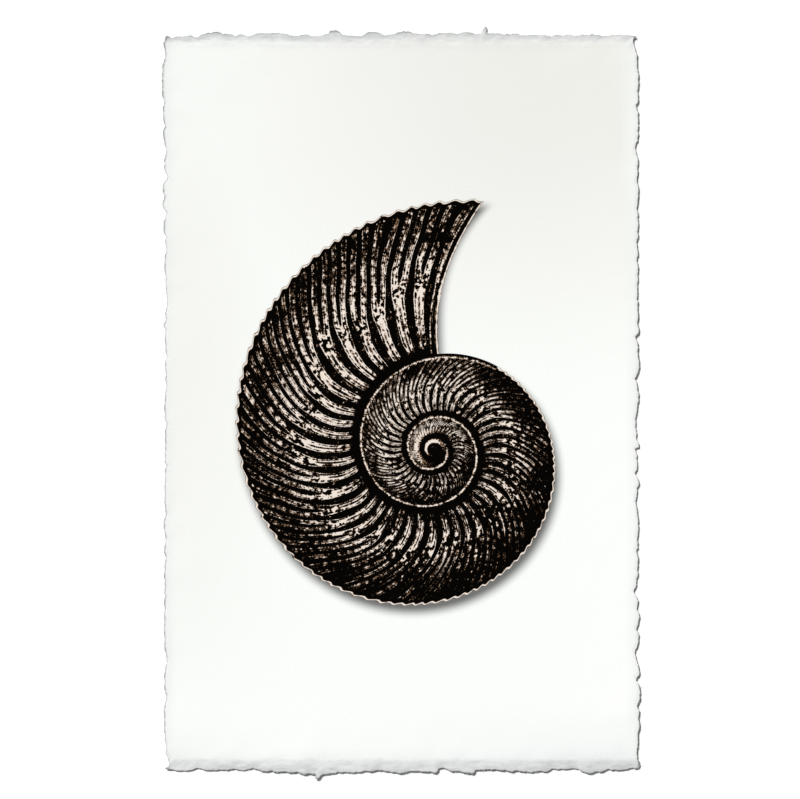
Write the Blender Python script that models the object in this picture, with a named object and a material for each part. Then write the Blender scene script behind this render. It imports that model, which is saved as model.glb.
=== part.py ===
"""A sheet of deckle-edged cotton-rag paper, lying flat with its printed side up.

X runs across the sheet and Y up it, as the print is looked at. Z = 0 is the flat
underside that the sheet rests on, and the origin is under the middle of its box.
"""

import math

import bmesh
import bpy
import numpy as np

# Driving dimensions, in metres
SHEET_WIDTH = 0.247  # between the middles of the torn side edges
SHEET_HEIGHT = 0.385  # between the middles of the torn top and bottom edges
SHEET_THICKNESS = 0.0008  # heavy cotton-rag stock
CORNER_RADIUS = 0.0016
SHOULDER_RADIUS = 0.0040  # the corners of the line where the full stock starts

SIDES = ("bottom", "right", "top", "left")  # anticlockwise, seen from above
SIDE_WAYS = np.array([(0, -1), (1, 0), (0, 1), (-1, 0)])  # out of each of SIDES
DECKLES = (0.0063, 0.0016, 0.0057, 0.0016)  # how far in the stock is thinned, side by side
FEATHERS = (0.00035, 0.00065, 0.00035, 0.00065)  # what is left of it at the torn rim
STATION_SPACING = 0.0015  # between neighbouring points of the outline
CORNER_STEPS = 3  # points in each rounded corner

# The tear: runs from kink to kink, in four sizes laid over each other. Each run swells
# outward between its kinks, so that the runs meet in notches.
TEAR_SEED = 911
TEAR_RUNS = (  # (mean distance between kinks, how far a kink reaches out or in)
    (0.0320, 0.00024),
    (0.0140, 0.00028),
    (0.0065, 0.00036),
    (0.0030, 0.00034),
)
TEAR_SWELL = 0.55  # how far a run swells, as a share of its kinks' reach
SIDE_TEAR = (1.3, 1.0, 1.3, 1.0)  # how rough the tear is along each of SIDES

# Tufts and bites that stand out from the tear: (side, place along it, reach, width,
# bluntness from 1 for a straight-sided point, how far the tip leans to +X or +Y)
TUFTS = (
    ("top", -0.1160, -0.0013, 0.0240, 2.5, 0.0000),
    ("top", -0.1195, -0.0012, 0.0044, 1.0, 0.0000),
    ("top", -0.1070, -0.0008, 0.0050, 1.4, 0.0000),
    ("top", -0.0985, 0.0014, 0.0110, 2.0, 0.0000),
    ("top", -0.0790, -0.0006, 0.0260, 2.0, 0.0000),
    ("top", -0.0670, 0.0008, 0.0080, 1.0, 0.0000),
    ("top", -0.0500, -0.0010, 0.0200, 3.0, 0.0000),
    ("top", -0.0345, 0.0022, 0.0070, 3.0, -0.0007),
    ("top", -0.0245, -0.0012, 0.0110, 2.5, 0.0000),
    ("top", -0.0145, 0.0009, 0.0090, 2.0, -0.0016),
    ("top", 0.0015, 0.0012, 0.0100, 1.0, 0.0000),
    ("top", 0.0430, 0.0038, 0.0030, 2.0, 0.0013),
    ("top", 0.0660, -0.0006, 0.0240, 3.0, 0.0000),
    ("top", 0.0785, -0.0010, 0.0080, 1.0, 0.0000),
    ("top", 0.0925, -0.0008, 0.0070, 1.0, 0.0000),
    ("top", 0.1080, -0.0010, 0.0120, 1.0, 0.0000),
    ("top", 0.1228, -0.0008, 0.0050, 2.0, 0.0000),
    ("bottom", -0.1065, -0.0012, 0.0080, 1.0, 0.0000),
    ("bottom", -0.0845, -0.0010, 0.0220, 3.0, 0.0000),
    ("bottom", -0.0445, 0.0010, 0.0300, 2.0, 0.0000),
    ("bottom", -0.0430, 0.0029, 0.0030, 2.5, -0.0013),
    ("bottom", -0.0010, 0.0007, 0.0110, 1.0, 0.0000),
    ("bottom", 0.0140, 0.0013, 0.0110, 1.2, 0.0035),
    ("bottom", 0.0220, -0.0012, 0.0080, 2.5, 0.0000),
    ("bottom", 0.0345, 0.0022, 0.0080, 1.5, 0.0026),
    ("bottom", 0.0480, -0.0011, 0.0200, 3.0, 0.0000),
    ("bottom", 0.0665, 0.0006, 0.0120, 2.0, 0.0000),
    ("bottom", 0.0860, -0.0008, 0.0170, 3.0, 0.0000),
    ("bottom", 0.0985, 0.0016, 0.0120, 1.4, 0.0000),
    ("bottom", 0.1076, -0.0015, 0.0050, 1.4, 0.0006),
    ("bottom", 0.1212, -0.0012, 0.0064, 2.5, 0.0000),
    ("left", 0.1875, 0.0010, 0.0080, 1.0, 0.0000),
    ("left", 0.1800, -0.0007, 0.0060, 1.0, 0.0000),
    ("left", 0.1570, 0.0012, 0.0420, 4.0, 0.0000),
    ("left", 0.1572, -0.0010, 0.0060, 1.0, 0.0000),
    ("left", 0.1452, -0.0014, 0.0080, 1.0, -0.0008),
    ("left", 0.1320, -0.0010, 0.0090, 1.4, -0.0006),
    ("left", 0.1248, 0.0005, 0.0070, 2.0, 0.0000),
    ("left", 0.1178, -0.0010, 0.0080, 1.0, 0.0000),
    ("left", 0.1125, 0.0008, 0.0080, 2.0, 0.0000),
    ("left", 0.1030, 0.0008, 0.0070, 2.0, 0.0000),
    ("left", 0.0985, -0.0014, 0.0080, 1.0, 0.0000),
    ("left", 0.0800, -0.0010, 0.0090, 1.0, -0.0010),
    ("left", 0.0530, -0.0008, 0.0260, 1.0, 0.0000),
    ("left", 0.0402, 0.0011, 0.0060, 1.0, 0.0000),
    ("left", 0.0245, -0.0011, 0.0060, 1.0, -0.0010),
    ("left", 0.0100, -0.0008, 0.0160, 1.0, 0.0000),
    ("left", -0.0118, -0.0012, 0.0080, 1.0, 0.0008),
    ("left", -0.0333, -0.0011, 0.0036, 1.4, 0.0000),
    ("left", -0.0805, -0.0008, 0.0060, 1.0, -0.0008),
    ("left", -0.1330, -0.0012, 0.0110, 1.0, -0.0012),
    ("left", -0.1545, -0.0009, 0.0090, 1.0, 0.0000),
    ("left", -0.1790, -0.0008, 0.0140, 1.0, 0.0000),
    ("left", -0.1850, -0.0007, 0.0120, 1.5, 0.0000),
    ("left", -0.1872, -0.0024, 0.0076, 1.3, -0.0018),
    ("right", 0.1863, -0.0024, 0.0088, 1.3, 0.0028),
    ("right", 0.1540, -0.0010, 0.0050, 1.4, 0.0010),
    ("right", 0.1325, -0.0011, 0.0090, 1.0, 0.0012),
    ("right", 0.1100, 0.0006, 0.0160, 2.0, 0.0000),
    ("right", 0.0825, -0.0009, 0.0070, 1.0, 0.0010),
    ("right", 0.0335, -0.0012, 0.0050, 1.0, 0.0010),
    ("right", 0.0210, 0.0007, 0.0120, 2.0, 0.0000),
    ("right", 0.0115, -0.0010, 0.0090, 1.0, 0.0008),
    ("right", -0.0100, -0.0009, 0.0140, 1.0, 0.0010),
    ("right", -0.0225, 0.0008, 0.0060, 2.0, 0.0000),
    ("right", -0.0256, -0.0012, 0.0040, 1.4, 0.0012),
    ("right", -0.0380, -0.0009, 0.0060, 1.4, 0.0010),
    ("right", -0.0410, 0.0008, 0.0080, 2.0, 0.0000),
    ("right", -0.0530, -0.0010, 0.0200, 1.0, 0.0020),
    ("right", -0.0800, -0.0010, 0.0080, 1.0, 0.0020),
    ("right", -0.0995, -0.0014, 0.0080, 1.0, 0.0012),
    ("right", -0.1120, 0.0008, 0.0080, 2.0, 0.0000),
    ("right", -0.1184, -0.0010, 0.0060, 1.0, 0.0000),
    ("right", -0.1315, -0.0013, 0.0080, 1.0, 0.0010),
    ("right", -0.1400, 0.0011, 0.0080, 2.0, 0.0000),
    ("right", -0.1456, -0.0008, 0.0050, 1.0, 0.0000),
    ("right", -0.1580, 0.0012, 0.0280, 3.0, 0.0000),
    ("right", -0.1582, -0.0012, 0.0060, 1.4, 0.0000),
    ("right", -0.1835, -0.0008, 0.0070, 1.4, 0.0000),
    ("right", -0.1891, 0.0010, 0.0056, 2.0, 0.0000),
)

PAPER_COLOUR = (0.91, 0.91, 0.885, 1.0)
PAPER_ROUGHNESS = 0.92


def rounded_rectangle(insets, radius):
    """Points, outward normals and distances round of a ring set in from the sheet's edges.

    Each corner is an arc and each side a straight run. The counts don't depend on the
    insets, so two rings match point for point.
    """
    bottom, right, top, left = insets
    low, high = bottom - SHEET_HEIGHT / 2, SHEET_HEIGHT / 2 - top
    start, end = left - SHEET_WIDTH / 2, SHEET_WIDTH / 2 - right
    lengths = (SHEET_WIDTH, SHEET_HEIGHT, SHEET_WIDTH, SHEET_HEIGHT)
    corners = np.array([(start, low), (end, low), (end, high), (start, high)])
    inward = np.array([(1, 1), (-1, 1), (-1, -1), (1, -1)])
    centres = corners + radius * inward
    quarter = math.pi / 2
    bend = quarter * radius
    points, normals, distances = [], [], []
    begun = 0.0
    for number in range(len(SIDES)):
        angles = (number - 2) * quarter + np.linspace(0, quarter, CORNER_STEPS)
        arc = np.column_stack((np.cos(angles), np.sin(angles)))
        out = arc[-1]
        leaves = centres[number] + radius * out
        arrives = centres[(number + 1) % len(SIDES)] + radius * out
        straight = np.linalg.norm(arrives - leaves)
        steps = round(lengths[number] / STATION_SPACING)
        along = np.arange(1, steps) / steps
        points += [centres[number] + radius * arc, leaves + along[:, None] * (arrives - leaves)]
        normals += [arc, np.repeat(out[None], steps - 1, axis=0)]
        distances += [begun + np.linspace(0, bend, CORNER_STEPS), begun + bend + along * straight]
        begun += bend + straight
    return np.concatenate(points), np.concatenate(normals), np.concatenate(distances)


def belonging(normals):
    """How far points of the outline belong to each side, blended round the corners."""
    return np.clip(normals @ SIDE_WAYS.T, 0, None) ** 2


def place_round(number, place):
    """How far round the outline a place along a side is, from the lower left corner."""
    straights = np.array([SHEET_WIDTH, SHEET_HEIGHT] * 2) - 2 * CORNER_RADIUS
    bends = (number + 1) * math.pi / 2 * CORNER_RADIUS
    ahead = 1 if SIDES[number] in ("bottom", "right") else -1
    return bends + straights[:number].sum() + straights[number] / 2 + ahead * place


def tear(distance, around):
    """How far the torn edge stands out at each distance along the outline."""
    rng = np.random.RandomState(TEAR_SEED)
    reach = np.zeros_like(distance)
    for spacing, depth in TEAR_RUNS:
        count = round(around / spacing)
        kinks = (np.arange(count) + rng.uniform(0, 0.8, count)) * around / count
        heights = rng.uniform(-depth, depth, count)
        after = np.searchsorted(kinks, distance) % count
        run = (kinks[after] - kinks[after - 1]) % around
        part = (distance - kinks[after - 1]) % around / run
        arc = 2 * np.sqrt(np.clip(part * (1 - part), 0, None))
        reach += heights[after - 1] * (1 - part) + heights[after] * part
        reach += TEAR_SWELL * depth * (arc - math.pi / 4)
    return reach


def torn_outline():
    """The sheet's ragged outline, centred on the origin, and its points' outward normals."""
    points, normals, distance = rounded_rectangle((0, 0, 0, 0), CORNER_RADIUS)
    around = 2 * (SHEET_WIDTH + SHEET_HEIGHT) - (8 - 2 * math.pi) * CORNER_RADIUS
    reach = tear(distance, around) * (belonging(normals) @ SIDE_TEAR)
    lean = np.zeros_like(points)
    for side, place, height, width, bluntness, tip in TUFTS:
        number = SIDES.index(side)
        off = (distance - place_round(number, place)) % around
        off = np.minimum(off, around - off) / (width / 2)
        bump = 1 - np.minimum(off, 1) ** bluntness
        reach += height * bump
        lean[:, number % 2] += tip * bump
    outline = points + reach[:, None] * normals + lean
    return outline - (outline.min(axis=0) + outline.max(axis=0)) / 2, normals


def closed_ring(mesh, outline, heights):
    """Vertices along an outline at their heights, each joined to the next by an edge."""
    places = np.column_stack((outline, np.broadcast_to(heights, len(outline))))
    ring = [mesh.verts.new(place) for place in places]
    for here in range(len(ring)):
        mesh.edges.new((ring[here - 1], ring[here]))
    return ring


def wall(mesh, lower, upper):
    """Upright faces between two rings of equal count."""
    count = len(lower)
    for here in range(count):
        after = (here + 1) % count
        mesh.faces.new((lower[here], lower[after], upper[after], upper[here]))


def fill(mesh, *rings):
    """Fills a ring, or the band between two, with triangles that don't overlap in plan."""
    edges = [mesh.edges.get((ring[i - 1], ring[i])) for ring in rings for i in range(len(ring))]
    bmesh.ops.triangle_fill(mesh, use_beauty=True, edges=edges, normal=(0, 0, 1))


def build_sheet(collection):
    """The sheet: a flat underside, a thin torn rim and a slope up to the full stock."""
    outline, normals = torn_outline()
    shoulder, _, _ = rounded_rectangle(DECKLES, SHOULDER_RADIUS)
    mesh = bmesh.new()
    under = closed_ring(mesh, outline, 0)
    rim = closed_ring(mesh, outline, belonging(normals) @ FEATHERS)
    full = closed_ring(mesh, shoulder, SHEET_THICKNESS)
    wall(mesh, under, rim)
    fill(mesh, under)
    fill(mesh, rim, full)
    fill(mesh, full)
    bmesh.ops.recalc_face_normals(mesh, faces=mesh.faces)
    data = bpy.data.meshes.new("paper_sheet")
    mesh.to_mesh(data)
    mesh.free()
    data.materials.append(cotton_rag_paper())
    sheet = bpy.data.objects.new("paper_sheet", data)
    collection.objects.link(sheet)
    return sheet


def cotton_rag_paper():
    """Warm white, unsized and without any gloss."""
    paper = bpy.data.materials.new("cotton_rag_paper")
    paper.use_nodes = True
    shader = paper.node_tree.nodes["Principled BSDF"]
    shader.inputs["Base Color"].default_value = PAPER_COLOUR
    shader.inputs["Roughness"].default_value = PAPER_ROUGHNESS
    shader.inputs["Metallic"].default_value = 0.0
    paper.diffuse_color = PAPER_COLOUR
    return paper


def main():
    for thing in list(bpy.data.objects):
        bpy.data.objects.remove(thing, do_unlink=True)
    collection = bpy.data.collections.new("deckle_edged_print")
    bpy.context.scene.collection.children.link(collection)
    build_sheet(collection)


main()
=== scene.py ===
"""A deckle-edged sheet of cotton-rag paper with an ammonite printed on it.

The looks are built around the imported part, in its frame and in metres: X runs across
the sheet, Y up it and Z out of the printed face. Sizes of patterns are in millimetres.
"""

from __future__ import annotations

import logging
import math
from dataclasses import dataclass
from enum import Enum
from typing import Any, Sequence

import bpy
import numpy as np
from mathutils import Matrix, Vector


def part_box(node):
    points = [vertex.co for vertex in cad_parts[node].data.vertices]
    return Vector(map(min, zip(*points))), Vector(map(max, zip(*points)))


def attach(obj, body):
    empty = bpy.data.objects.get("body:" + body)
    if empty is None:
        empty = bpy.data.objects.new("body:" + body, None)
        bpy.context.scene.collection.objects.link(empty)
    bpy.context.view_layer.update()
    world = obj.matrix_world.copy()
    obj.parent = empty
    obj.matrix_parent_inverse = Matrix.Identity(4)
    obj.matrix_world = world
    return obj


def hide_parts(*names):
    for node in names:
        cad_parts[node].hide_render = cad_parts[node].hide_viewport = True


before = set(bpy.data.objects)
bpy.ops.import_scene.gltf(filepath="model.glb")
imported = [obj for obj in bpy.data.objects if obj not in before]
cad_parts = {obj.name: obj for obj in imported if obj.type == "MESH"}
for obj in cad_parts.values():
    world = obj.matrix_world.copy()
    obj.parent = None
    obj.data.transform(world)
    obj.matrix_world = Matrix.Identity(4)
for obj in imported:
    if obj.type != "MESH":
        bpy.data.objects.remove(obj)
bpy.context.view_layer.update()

Array = np.ndarray
Socket = bpy.types.NodeSocket
Steps = Sequence[tuple]  # rows of a formula, for Recipe.work_out
Layers = tuple[tuple[float, float, int], ...]  # rows of a share, a cell's side and a seed
TAU = 2 * math.pi
MM = 0.001  # one millimetre, in the scene's metres
LATTICE = 512  # corners each way in the noise's repeating lattice
# How grey each deckle is, partly painted shade of its thin, curled stock: depths in, as shares of
# its own depth, and the greyness at each
LONG_GREY = (
    (0.0, 0.09, 0.43, 0.82, 0.95, 1.08, 1.3, 1.9),
    (1.0, 0.96, 0.69, 0.50, 0.32, 0.16, 0.09, 0.0),
)
FADING_GREY = (
    (0.0, 0.12, 0.30, 0.46, 0.74, 1.0, 1.28, 1.5),
    (1.0, 1.06, 0.82, 0.63, 0.36, 0.18, 0.05, 0.0),
)
FAINT_GREY = ((0.0, 0.5, 1.0), (0.10, 0.02, 0.0))
BRIEF_GREY = ((0.0, 0.4, 0.8, 1.4, 2.5), (0.75, 0.40, 0.17, 0.06, 0.0))
SIDE_WAYS = np.array([(0, -1), (1, 0), (0, 1), (-1, 0)])  # out of each side, as Side has them
THIN_AND_SHADE = "thinness_and_shade"  # the sheet's attribute: 1 where the pulp ran out, 0 where the stock is full; it carries the thin stock's grey together with painted shade
RIM_SHADE = "fray"  # the sheet's attribute for painted shade along the torn rim: 1 at the rim itself, 0 from half a millimetre in

log = logging.getLogger("deckle_print")


def linear(hex_colour: str) -> tuple[float, float, float, float]:
    """Turns an sRGB hex colour to the linear one that Blender's sockets take.

    Args:
        hex_colour: six hex digits, red first.

    Returns:
        Linear red, green and blue, and an alpha of 1.
    """
    shares = [int(hex_colour[i : i + 2], 16) / 255 for i in (0, 2, 4)]
    red, green, blue = (s / 12.92 if s <= 0.04045 else ((s + 0.055) / 1.055) ** 2.4 for s in shares)
    return red, green, blue, 1.0


def smooth_step(low: float | Array, high: float | Array, value: Array) -> Array:
    """Rises from 0 at low to 1 at high, by the formula 3t^2 - 2t^3.

    Args:
        low: where the rise starts.
        high: where it ends.
        value: the places to work it out at.

    Returns:
        The step at each place.
    """
    t = np.clip((value - low) / (high - low), 0, 1)
    return t * t * (3 - 2 * t)


def cloud(x: Array, y: Array, size: float, seed: int) -> Array:
    """Smooth seeded noise from -1 to 1 over the plane.

    Formula: random values stand at the corners of square cells, and each cell blends
    its four by a smooth step across and a smooth step up.

    Args:
        x: places across the sheet.
        y: places up the sheet.
        size: the side of a cell, in the units of x and y.
        seed: chooses the random values.

    Returns:
        The noise at each place.
    """
    values = np.random.RandomState(seed).uniform(-1, 1, (LATTICE, LATTICE))
    column, row = np.floor(x / size).astype(int), np.floor(y / size).astype(int)
    over, up = smooth_step(0, 1, x / size - column), smooth_step(0, 1, y / size - row)
    left, right = column % LATTICE, (column + 1) % LATTICE
    low, high = row % LATTICE, (row + 1) % LATTICE
    below = values[low, left] * (1 - over) + values[low, right] * over
    above = values[high, left] * (1 - over) + values[high, right] * over
    return below * (1 - up) + above * up


def clouds(x: Array, y: Array, layers: Layers) -> Array:
    """Adds up layers of cloud noise at places across and up the sheet."""
    return sum(share * cloud(x, y, size, seed) for share, size, seed in layers)


@dataclass(frozen=True)
class Recipe:
    """Writes one material's nodes."""

    tree: bpy.types.NodeTree

    @classmethod
    def afresh(cls, owner: bpy.types.Material | bpy.types.World) -> Recipe:
        """Starts a material's or a world's nodes with none there."""
        owner.use_nodes = True
        owner.node_tree.nodes.clear()
        return cls(owner.node_tree)

    def add(self, kind: str, *inputs: Any, out: int | str = 0, **settings: Any) -> Socket:
        """Adds a node with its settings and links.

        Args:
            kind: the node's type, without its ShaderNode prefix.
            inputs: a socket or a value for each input in order, None to leave one be,
                and last, if wanted, a dict of inputs by name or number.
            out: the output to return.
            settings: the node's own properties.

        Returns:
            The output socket.
        """
        node = self.tree.nodes.new("ShaderNode" + kind)
        for name, value in settings.items():
            setattr(node, name, value)
        named = inputs[-1] if inputs and isinstance(inputs[-1], dict) else {}
        listed = inputs[:-1] if named else inputs
        for place, value in [*enumerate(listed), *named.items()]:
            if isinstance(value, bpy.types.NodeSocket):
                self.tree.links.new(value, node.inputs[place])
            elif value is not None:
                node.inputs[place].default_value = value
        return node.outputs[out]

    def work_out(self, steps: Steps, known: dict[str, Socket]) -> dict[str, Socket]:
        """Adds a formula's nodes, one for each step.

        Args:
            steps: rows of a name for the result, a Math operation or a Map Range
                interpolation, and its inputs, each a number or an earlier name. A map's
                results run from 0 to 1 unless its row says otherwise.
            known: the results so far, by name. The new ones join them.

        Returns:
            The same dict.
        """
        for name, operation, *inputs in steps:
            sockets = [known[i] if isinstance(i, str) else i for i in inputs]
            if operation in ("SMOOTHSTEP", "LINEAR"):
                known[name] = self.add("MapRange", *sockets, interpolation_type=operation)
            else:
                known[name] = self.add("Math", *sockets, operation=operation)
        return known

    def lay_over(self, colour: Any, layers: Sequence[tuple[Socket, Any]]) -> Socket:
        """Lays colours over one another.

        Args:
            colour: the undermost, as a socket or a value.
            layers: rows of the share that a colour covers of those under it, and that
                colour.

        Returns:
            The colour that is seen.
        """
        for share, over in layers:
            mixed = {0: share, 6: colour, 7: over}
            colour = self.add("Mix", mixed, out=2, data_type="RGBA")
        return colour

    def finish(self, surface: Socket, kind: str = "Material") -> None:
        """Links the surface to the output of a material or a world."""
        output = self.tree.nodes.new(f"ShaderNodeOutput{kind}")
        self.tree.links.new(surface, output.inputs["Surface"])


class Side(Enum):
    """The sheet's sides, anticlockwise as seen from above."""

    BOTTOM = 0
    RIGHT = 1
    TOP = 2
    LEFT = 3


def belonging(out: Array) -> Array:
    """How far points of the outline belong to each side, blended round its corners.

    Formula: the square of the outward way's share towards the side.

    Args:
        out: the points' outward ways.

    Returns:
        A row for each point, with a share for each side.
    """
    return np.clip(out @ SIDE_WAYS.T, 0, None) ** 2


@dataclass(frozen=True)
class Tuft:
    """A tuft that stands out of the torn edge or, with a negative reach, a bite in it."""

    side: Side
    place: float  # along the side, from its middle
    reach: float
    width: float
    blunt: float = 1.0  # 1 for a straight-sided point, more for a rounder and steeper one
    lean: float = 0.0  # of the tip, towards +X or +Y


# The torn rim's tufts and bites, as Tuft has them: place, reach, width, bluntness and lean.
# The bite at 0.1540 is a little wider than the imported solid's, and leans less, so that the
# finer rows of the strip don't fold over in it.
TUFTS = {
    Side.TOP: (
        (-0.1160, -0.0013, 0.0240, 2.5),
        (-0.1195, -0.0012, 0.0044),
        (-0.1070, -0.0008, 0.0050, 1.4),
        (-0.0985, 0.0014, 0.0110, 2.0),
        (-0.0790, -0.0006, 0.0260, 2.0),
        (-0.0670, 0.0008, 0.0080),
        (-0.0500, -0.0010, 0.0200, 3.0),
        (-0.0345, 0.0022, 0.0070, 3.0, -0.0007),
        (-0.0245, -0.0012, 0.0110, 2.5),
        (-0.0145, 0.0009, 0.0090, 2.0, -0.0016),
        (0.0015, 0.0012, 0.0100),
        (0.0430, 0.0038, 0.0030, 2.0, 0.0013),
        (0.0660, -0.0006, 0.0240, 3.0),
        (0.0785, -0.0010, 0.0080),
        (0.0925, -0.0008, 0.0070),
        (0.1080, -0.0010, 0.0120),
        (0.1228, -0.0008, 0.0050, 2.0),
    ),
    Side.BOTTOM: (
        (-0.1065, -0.0012, 0.0080),
        (-0.0845, -0.0010, 0.0220, 3.0),
        (-0.0445, 0.0010, 0.0300, 2.0),
        (-0.0430, 0.0029, 0.0030, 2.5, -0.0013),
        (-0.0010, 0.0007, 0.0110),
        (0.0140, 0.0013, 0.0110, 1.2, 0.0035),
        (0.0220, -0.0012, 0.0080, 2.5),
        (0.0345, 0.0022, 0.0080, 1.5, 0.0026),
        (0.0480, -0.0011, 0.0200, 3.0),
        (0.0665, 0.0006, 0.0120, 2.0),
        (0.0860, -0.0008, 0.0170, 3.0),
        (0.0985, 0.0016, 0.0120, 1.4),
        (0.1076, -0.0015, 0.0050, 1.4, 0.0006),
        (0.1212, -0.0012, 0.0064, 2.5),
    ),
    Side.LEFT: (
        (0.1875, 0.0010, 0.0080),
        (0.1800, -0.0007, 0.0060),
        (0.1570, 0.0012, 0.0420, 4.0),
        (0.1572, -0.0010, 0.0060),
        (0.1452, -0.0014, 0.0080, 1.0, -0.0008),
        (0.1320, -0.0010, 0.0090, 1.4, -0.0006),
        (0.1248, 0.0005, 0.0070, 2.0),
        (0.1178, -0.0010, 0.0080),
        (0.1125, 0.0008, 0.0080, 2.0),
        (0.1030, 0.0008, 0.0070, 2.0),
        (0.0985, -0.0014, 0.0080),
        (0.0800, -0.0010, 0.0090, 1.0, -0.0010),
        (0.0530, -0.0008, 0.0260),
        (0.0402, 0.0011, 0.0060),
        (0.0245, -0.0011, 0.0060, 1.0, -0.0010),
        (0.0100, -0.0008, 0.0160),
        (-0.0118, -0.0012, 0.0080, 1.0, 0.0008),
        (-0.0333, -0.0011, 0.0036, 1.4),
        (-0.0805, -0.0008, 0.0060, 1.0, -0.0008),
        (-0.1330, -0.0012, 0.0110, 1.0, -0.0012),
        (-0.1545, -0.0009, 0.0090),
        (-0.1790, -0.0008, 0.0140),
        (-0.1850, -0.0007, 0.0120, 1.5),
        (-0.1872, -0.0024, 0.0076, 1.3, -0.0018),
    ),
    Side.RIGHT: (
        (0.1863, -0.0024, 0.0088, 1.3, 0.0028),
        (0.1540, -0.0010, 0.0056, 1.4, 0.0008),
        (0.1325, -0.0011, 0.0090, 1.0, 0.0012),
        (0.1100, 0.0006, 0.0160, 2.0),
        (0.0825, -0.0009, 0.0070, 1.0, 0.0010),
        (0.0335, -0.0012, 0.0050, 1.0, 0.0010),
        (0.0210, 0.0007, 0.0120, 2.0),
        (0.0115, -0.0010, 0.0090, 1.0, 0.0008),
        (-0.0100, -0.0009, 0.0140, 1.0, 0.0010),
        (-0.0225, 0.0008, 0.0060, 2.0),
        (-0.0256, -0.0012, 0.0040, 1.4, 0.0012),
        (-0.0380, -0.0009, 0.0060, 1.4, 0.0010),
        (-0.0410, 0.0008, 0.0080, 2.0),
        (-0.0530, -0.0010, 0.0200, 1.0, 0.0020),
        (-0.0800, -0.0010, 0.0080, 1.0, 0.0020),
        (-0.0995, -0.0014, 0.0080, 1.0, 0.0012),
        (-0.1120, 0.0008, 0.0080, 2.0),
        (-0.1184, -0.0010, 0.0060),
        (-0.1315, -0.0013, 0.0080, 1.0, 0.0010),
        (-0.1400, 0.0011, 0.0080, 2.0),
        (-0.1456, -0.0008, 0.0050),
        (-0.1580, 0.0012, 0.0280, 3.0),
        (-0.1582, -0.0012, 0.0060, 1.4),
        (-0.1835, -0.0008, 0.0070, 1.4),
        (-0.1891, 0.0010, 0.0056, 2.0),
    ),
}


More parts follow.
